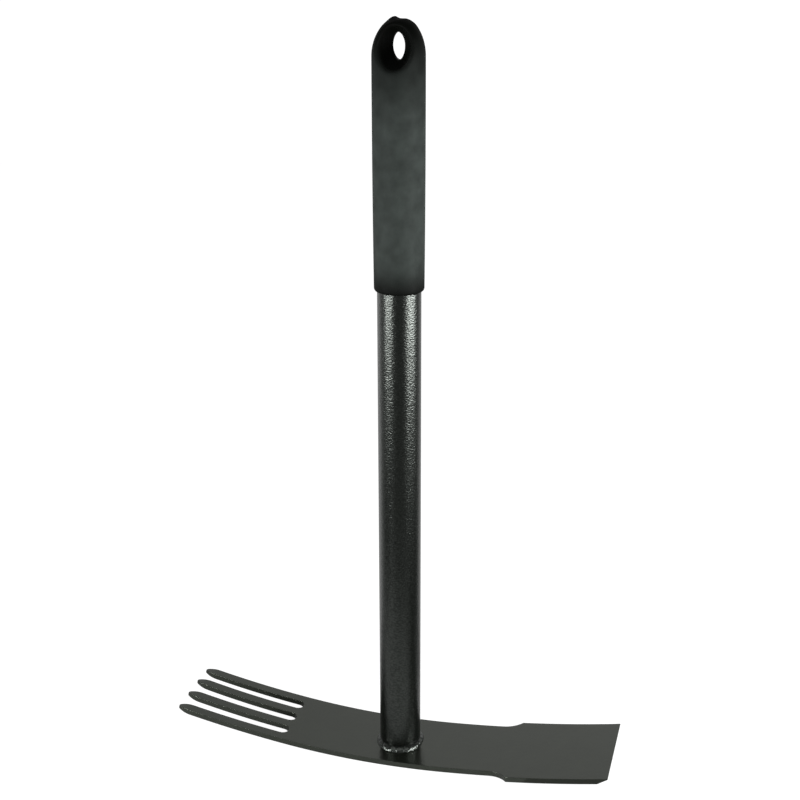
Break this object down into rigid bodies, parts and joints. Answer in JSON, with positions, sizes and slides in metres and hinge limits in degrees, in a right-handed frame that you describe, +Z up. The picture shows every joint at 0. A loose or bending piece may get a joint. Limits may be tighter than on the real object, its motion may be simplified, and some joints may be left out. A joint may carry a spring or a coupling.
{
  "type": "short-handled hoe and cultivator",
  "caption": "Hand hoe with a bent steel head, hoe blade at one end and tines at the other, on a tubular handle with a rubber grip and hang hole.",
  "frame": {"origin": "on the surface the tool stands on, under the middle of its length and width; the handle's axis stands 2.96 mm towards the blade and meets the head's lowest line", "axes": "+Z up the handle, +X along the head towards the hoe blade, -X towards the tines, +Y across the head"},
  "size_m": [0.2768, 0.063, 0.449],
  "materials": {
    "head_paint": "satin black paint with a fine grain",
    "tube_paint": "glossy black hammered powder coat",
    "weld_paint": "glossy black powder coat over an uneven weld",
    "grip_rubber": "matte moulded rubber"
  },
  "bodies": {
    "root": {"head_plate": "head_paint", "handle_tube": "tube_paint", "weld_bead": "weld_paint", "grip": "grip_rubber"}
  },
  "joints": []
}
